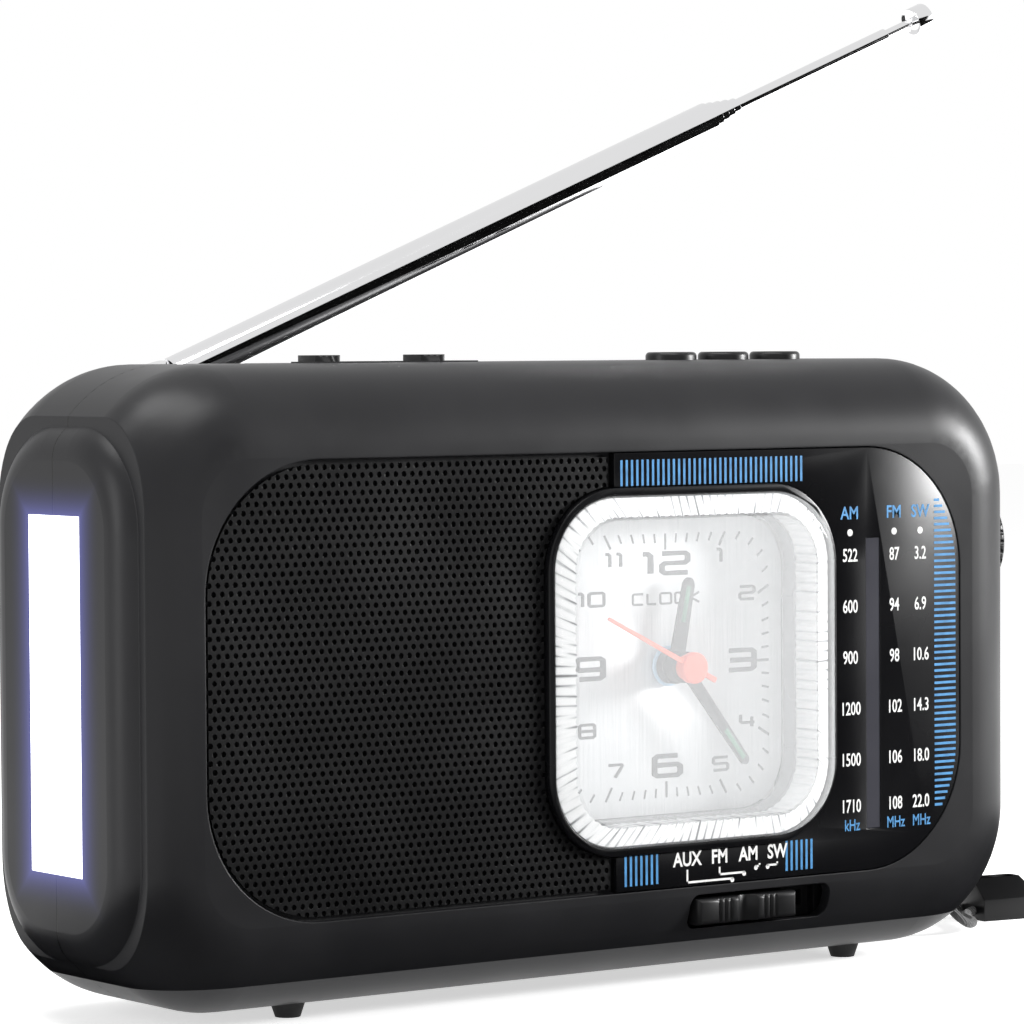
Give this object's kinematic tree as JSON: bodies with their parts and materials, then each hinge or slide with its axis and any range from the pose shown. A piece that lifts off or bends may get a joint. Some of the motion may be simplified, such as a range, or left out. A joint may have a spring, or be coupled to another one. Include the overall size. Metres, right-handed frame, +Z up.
{
  "type": "tabletop radio",
  "caption": "Portable table radio with a square analogue clock, side lamp, slide-rule dial and telescopic antenna.",
  "frame": {"origin": "bottom centre of the whole object without its wrist strap, on the plane of the feet", "axes": "+X to the listener's right, +Y from the front to the back, +Z up"},
  "size_m": [0.2752, 0.068, 0.2141],
  "materials": {
    "abs_black": "satin moulded ABS",
    "knob_black": "semi-gloss moulded plastic",
    "panel_black": "semi-gloss printed panel",
    "grille_steel": "black painted perforated steel",
    "smoke_acrylic": "smoked clear acrylic",
    "clear_acrylic": "clear acrylic",
    "diffuser": "milky diffuser, lit",
    "dial_silver": "vertically brushed, printed",
    "hand_black": "printed black with green insert",
    "hand_red": "red-orange",
    "disc_blue": "light blue",
    "white_plastic": "white",
    "chrome": "polished chrome plate",
    "steel": "zinc plated",
    "rubber": "matt",
    "board_green": "solder mask",
    "paper_black": "pressed paper pulp",
    "ferrite": "sintered",
    "cell_jacket": "plain shrink sleeve",
    "brass": "turned",
    "cord_black": "braided cord"
  },
  "bodies": {
    "case": {"front_shell": "abs_black", "rear_shell": "abs_black", "case_screws": "steel", "feet": "rubber", "lamp_lens": "diffuser", "lamp_reflector": "white_plastic", "lamp_board": "board_green", "speaker_grille": "grille_steel", "scale_panel": "panel_black", "pointer_window": "smoke_acrylic", "speaker_basket": "steel", "speaker_cone": "paper_black", "speaker_magnet": "ferrite", "clock_bezel": "knob_black", "clock_lens": "clear_acrylic", "clock_dial": "dial_silver", "clock_movement": "white_plastic", "pointer_rail": "steel", "tuning_capacitor": "white_plastic", "tuning_bearing": "steel", "volume_control": "steel", "band_switch": "steel", "top_switches": "steel", "key_board": "board_green", "batteries": "cell_jacket", "battery_contacts": "steel", "main_board": "board_green", "ferrite_rod": "ferrite", "phone_socket": "knob_black", "power_socket": "knob_black", "antenna_screw": "chrome", "strap_leg_front": "cord_black", "strap_leg_back": "cord_black", "strap_tab": "knob_black"},
    "battery_door": {"battery_door": "abs_black"},
    "previous_button": {"previous_button": "knob_black"},
    "play_button": {"play_button": "knob_black"},
    "next_button": {"next_button": "knob_black"},
    "lamp_switch_knob": {"lamp_switch_knob": "knob_black"},
    "mode_switch_knob": {"mode_switch_knob": "knob_black"},
    "band_switch_knob": {"band_switch_knob": "knob_black"},
    "tuning_knob": {"tuning_knob": "knob_black"},
    "tuning_drum": {"tuning_drum": "white_plastic"},
    "dial_pointer": {"dial_pointer": "white_plastic"},
    "volume_knob": {"volume_knob": "knob_black"},
    "hour_hand": {"hour_hand": "hand_black"},
    "minute_hand": {"minute_hand": "hand_black"},
    "second_hand": {"second_hand": "hand_red"},
    "alarm_disc": {"alarm_disc": "disc_blue"},
    "time_set_knob": {"time_set_knob": "knob_black"},
    "alarm_set_knob": {"alarm_set_knob": "knob_black"},
    "antenna_tube_1": {"antenna_tube_1": "chrome"},
    "antenna_tube_2": {"antenna_tube_2": "chrome"},
    "antenna_tube_3": {"antenna_tube_3": "chrome"},
    "antenna_tube_4": {"antenna_tube_4": "chrome"},
    "antenna_tube_5": {"antenna_tube_5": "chrome"},
    "antenna_tube_6": {"antenna_tube_6": "chrome"},
    "antenna_rod": {"antenna_rod": "chrome"},
    "antenna_base": {"antenna_knuckle": "chrome", "antenna_pin": "chrome"}
  },
  "joints": [
    {"name": "battery_door_hinge", "type": "hinge", "parent": "case", "child": "battery_door", "pos_m": [-0.01137, 0.034, 0.026], "axis": [-1, 0, 0], "range_deg": [0, 70]},
    {"name": "previous_button_press", "type": "slide", "parent": "case", "child": "previous_button", "axis": [0, 0, -1], "range_m": [0, 0.001], "stiffness_N_per_m": 600},
    {"name": "play_button_press", "type": "slide", "parent": "case", "child": "play_button", "axis": [0, 0, -1], "range_m": [0, 0.001], "stiffness_N_per_m": 600},
    {"name": "next_button_press", "type": "slide", "parent": "case", "child": "next_button", "axis": [0, 0, -1], "range_m": [0, 0.001], "stiffness_N_per_m": 600},
    {"name": "lamp_switch_slide", "type": "slide", "parent": "case", "child": "lamp_switch_knob", "axis": [1, 0, 0], "range_m": [0, 0.009]},
    {"name": "mode_switch_slide", "type": "slide", "parent": "case", "child": "mode_switch_knob", "axis": [1, 0, 0], "range_m": [-0.003, 0.0062]},
    {"name": "band_switch_slide", "type": "slide", "parent": "case", "child": "band_switch_knob", "axis": [1, 0, 0], "range_m": [0, 0.009]},
    {"name": "tuning_turn", "type": "hinge", "parent": "case", "child": "tuning_knob", "pos_m": [0.10608, 0.002, 0.09], "axis": [1, 0, 0], "range_deg": [-63.03, 452.64]},
    {"name": "pointer_slide", "type": "slide", "parent": "case", "child": "dial_pointer", "axis": [0, 0, 1], "range_m": [-0.00661, 0.04741]},
    {"name": "drum_turn", "type": "hinge", "parent": "case", "child": "tuning_drum", "pos_m": [0.05863, -0.01, 0.095], "axis": [0, 1, 0], "range_deg": [-22.09, 158]},
    {"name": "volume_turn", "type": "hinge", "parent": "case", "child": "volume_knob", "pos_m": [0.10608, 0.002, 0.05], "axis": [1, 0, 0], "range_deg": [0, 300]},
    {"name": "second_turn", "type": "hinge", "parent": "case", "child": "second_hand", "pos_m": [0.01048, -0.03, 0.0674], "axis": [0, 1, 0], "continuous": true},
    {"name": "minute_turn", "type": "hinge", "parent": "case", "child": "minute_hand", "pos_m": [0.01048, -0.03, 0.0674], "axis": [0, 1, 0], "continuous": true},
    {"name": "hour_turn", "type": "hinge", "parent": "case", "child": "hour_hand", "pos_m": [0.01048, -0.03, 0.0674], "axis": [0, 1, 0], "continuous": true},
    {"name": "time_set_turn", "type": "hinge", "parent": "case", "child": "time_set_knob", "pos_m": [0.02048, 0.034, 0.086], "axis": [0, 1, 0], "continuous": true},
    {"name": "alarm_set_turn", "type": "hinge", "parent": "case", "child": "alarm_set_knob", "pos_m": [0.00048, 0.034, 0.086], "axis": [0, 1, 0], "continuous": true},
    {"name": "alarm_turn", "type": "hinge", "parent": "case", "child": "alarm_disc", "pos_m": [0.01048, -0.03, 0.0674], "axis": [0, 1, 0], "continuous": true},
    {"name": "antenna_turn", "type": "hinge", "parent": "case", "child": "antenna_base", "pos_m": [-0.09602, 0.027, 0.1235], "axis": [0, -1, 0], "range_deg": [-21.74, 95]},
    {"name": "antenna_elbow", "type": "hinge", "parent": "antenna_base", "child": "antenna_tube_1", "pos_m": [-0.08626, 0.027, 0.12739], "axis": [-0.3704, 0, 0.9289], "range_deg": [0, 90]},
    {"name": "antenna_slide_1", "type": "slide", "parent": "antenna_tube_1", "child": "antenna_tube_2", "axis": [0.9289, 0, 0.3704], "range_m": [-0.0016, 0.1258]},
    {"name": "antenna_slide_2", "type": "slide", "parent": "antenna_tube_2", "child": "antenna_tube_3", "axis": [0.9289, 0, 0.3704], "range_m": [-0.0016, 0.1258]},
    {"name": "antenna_slide_3", "type": "slide", "parent": "antenna_tube_3", "child": "antenna_tube_4", "axis": [0.9289, 0, 0.3704], "range_m": [-0.0016, 0.1258]},
    {"name": "antenna_slide_4", "type": "slide", "parent": "antenna_tube_4", "child": "antenna_tube_5", "axis": [0.9289, 0, 0.3704], "range_m": [-0.0016, 0.1258]},
    {"name": "antenna_slide_5", "type": "slide", "parent": "antenna_tube_5", "child": "antenna_tube_6", "axis": [0.9289, 0, 0.3704], "range_m": [-0.047, 0.0804]},
    {"name": "antenna_slide_6", "type": "slide", "parent": "antenna_tube_6", "child": "antenna_rod", "axis": [0.9289, 0, 0.3704], "range_m": [-0.008, 0.1196]}
  ],
  "couplings": [
    {"joint": "pointer_slide", "follows": "tuning_turn", "m_per_rad": 0.006},
    {"joint": "drum_turn", "follows": "tuning_turn", "ratio": 0.34884},
    {"joint": "minute_turn", "follows": "second_turn", "ratio": 0.016667},
    {"joint": "hour_turn", "follows": "second_turn", "ratio": 0.0013889},
    {"joint": "time_set_turn", "follows": "second_turn", "ratio": -0.016667},
    {"joint": "alarm_turn", "follows": "alarm_set_turn", "ratio": -0.5}
  ]
}
